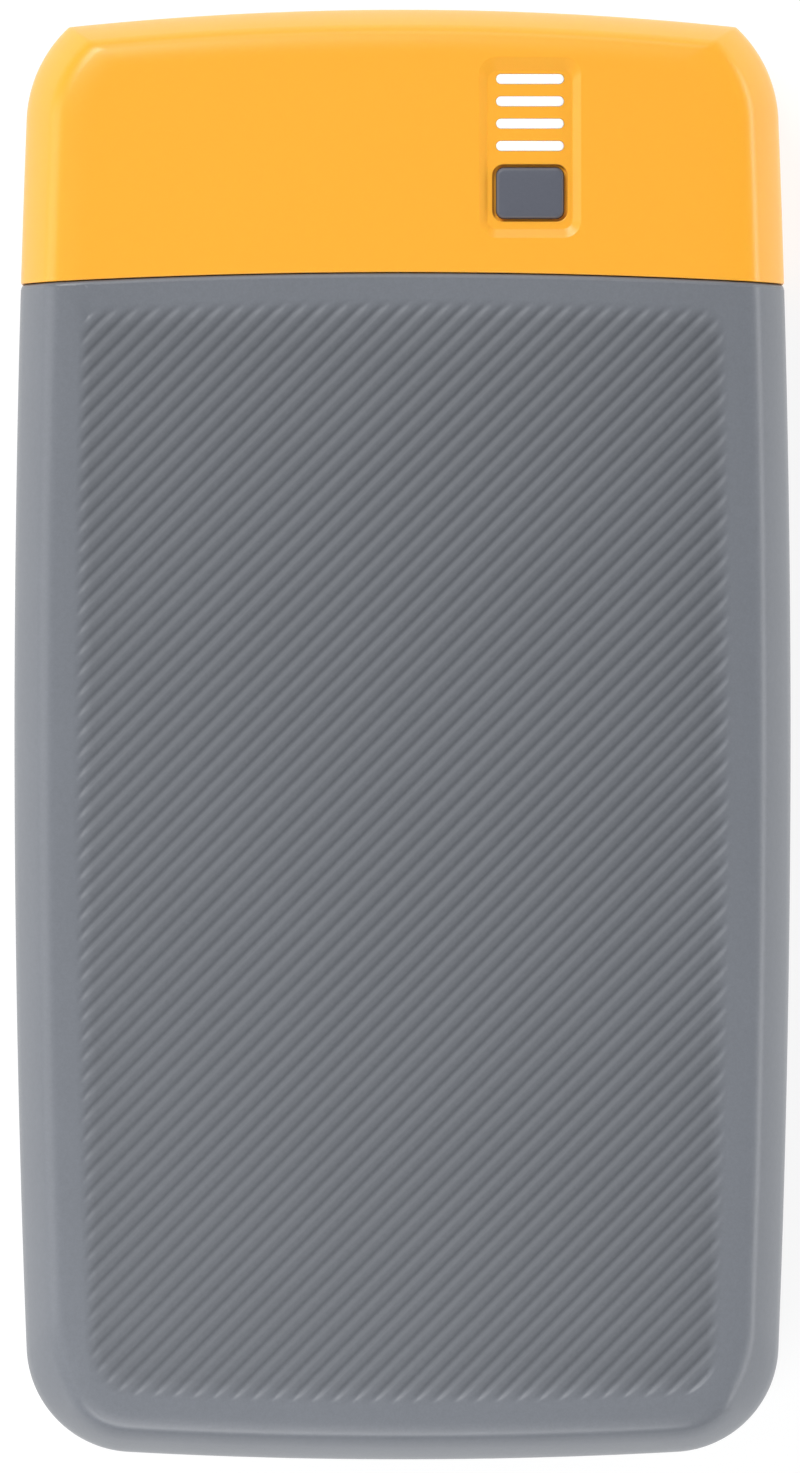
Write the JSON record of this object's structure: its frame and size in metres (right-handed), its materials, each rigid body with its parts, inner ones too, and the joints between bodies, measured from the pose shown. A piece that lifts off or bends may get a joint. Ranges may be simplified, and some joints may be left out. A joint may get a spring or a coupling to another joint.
{
  "type": "power bank",
  "caption": "Pocket battery pack with two shells, a socket cap, a push button, charge lights and USB sockets in its end face.",
  "frame": {"origin": "middle of the flat rear face it lies on", "axes": "+Z out of the front, where the button and lights are; +Y towards the end with the sockets; +X to the right, seen from the front"},
  "size_m": [0.083, 0.155, 0.028],
  "materials": {
    "shell_grey": "grained, ribbed panels",
    "cap_yellow": "smooth satin",
    "key_grey": "fine grained",
    "light_guide": "milky, translucent",
    "led_lens": "clear",
    "foam": "closed-cell foam",
    "steel": "satin",
    "nickel": "satin",
    "circuit_board": "solder mask",
    "cell_pouch": "laminated foil",
    "ferrite": "matt",
    "capacitor_can": "bright",
    "chip_epoxy": "moulded",
    "frame_plastic": "moulded",
    "wire_red": "silicone",
    "wire_black": "silicone",
    "black_plastic": "moulded"
  },
  "bodies": {
    "housing": {"battery_lead_negative": "wire_black", "battery_lead_positive": "wire_red", "board_screw_1": "steel", "board_screw_2": "steel", "board_screw_3": "steel", "board_screw_4": "steel", "bulk_capacitor_1": "capacitor_can", "bulk_capacitor_2": "capacitor_can", "cell_frame": "frame_plastic", "cell_spacer_pad": "foam", "charge_controller_chip": "chip_epoxy", "charge_led_1": "led_lens", "charge_led_2": "led_lens", "charge_led_3": "led_lens", "charge_led_4": "led_lens", "converter_chip": "chip_epoxy", "end_cap": "cap_yellow", "front_cell": "cell_pouch", "front_cell_tab_negative": "nickel", "front_cell_tab_positive": "nickel", "front_foam_pad": "foam", "front_shell": "shell_grey", "light_guide": "light_guide", "light_mask": "foam", "main_board": "circuit_board", "mosfet_1": "chip_epoxy", "mosfet_2": "chip_epoxy", "mosfet_3": "chip_epoxy", "mosfet_4": "chip_epoxy", "power_inductor_1": "ferrite", "power_inductor_2": "ferrite", "protection_board": "circuit_board", "rear_cell": "cell_pouch", "rear_cell_tab_negative": "nickel", "rear_cell_tab_positive": "nickel", "rear_foam_pad": "foam", "rear_shell": "shell_grey", "sense_resistor": "chip_epoxy", "shell_screw_left": "steel", "shell_screw_right": "steel", "switch_base": "black_plastic", "switch_cover": "steel", "switch_dome": "steel", "thermistor": "black_plastic", "thermistor_lead": "wire_black", "usb_a_left_shell": "steel", "usb_a_left_tongue": "black_plastic", "usb_a_right_shell": "steel", "usb_a_right_tongue": "black_plastic", "usb_c_shell": "steel", "usb_c_tongue": "black_plastic"},
    "button": {"button_key": "key_grey"},
    "plunger": {"switch_plunger": "black_plastic"}
  },
  "joints": [
    {"name": "button_press", "type": "slide", "parent": "housing", "child": "button", "axis": [0, 0, -1], "range_m": [0, 0.0004], "stiffness_N_per_m": 4000},
    {"name": "plunger_press", "type": "slide", "parent": "housing", "child": "plunger", "axis": [0, 0, -1], "range_m": [0, 0.0004], "deforming": ["switch_dome"]}
  ],
  "couplings": [
    {"joint": "plunger_press", "follows": "button_press", "ratio": 1}
  ]
}
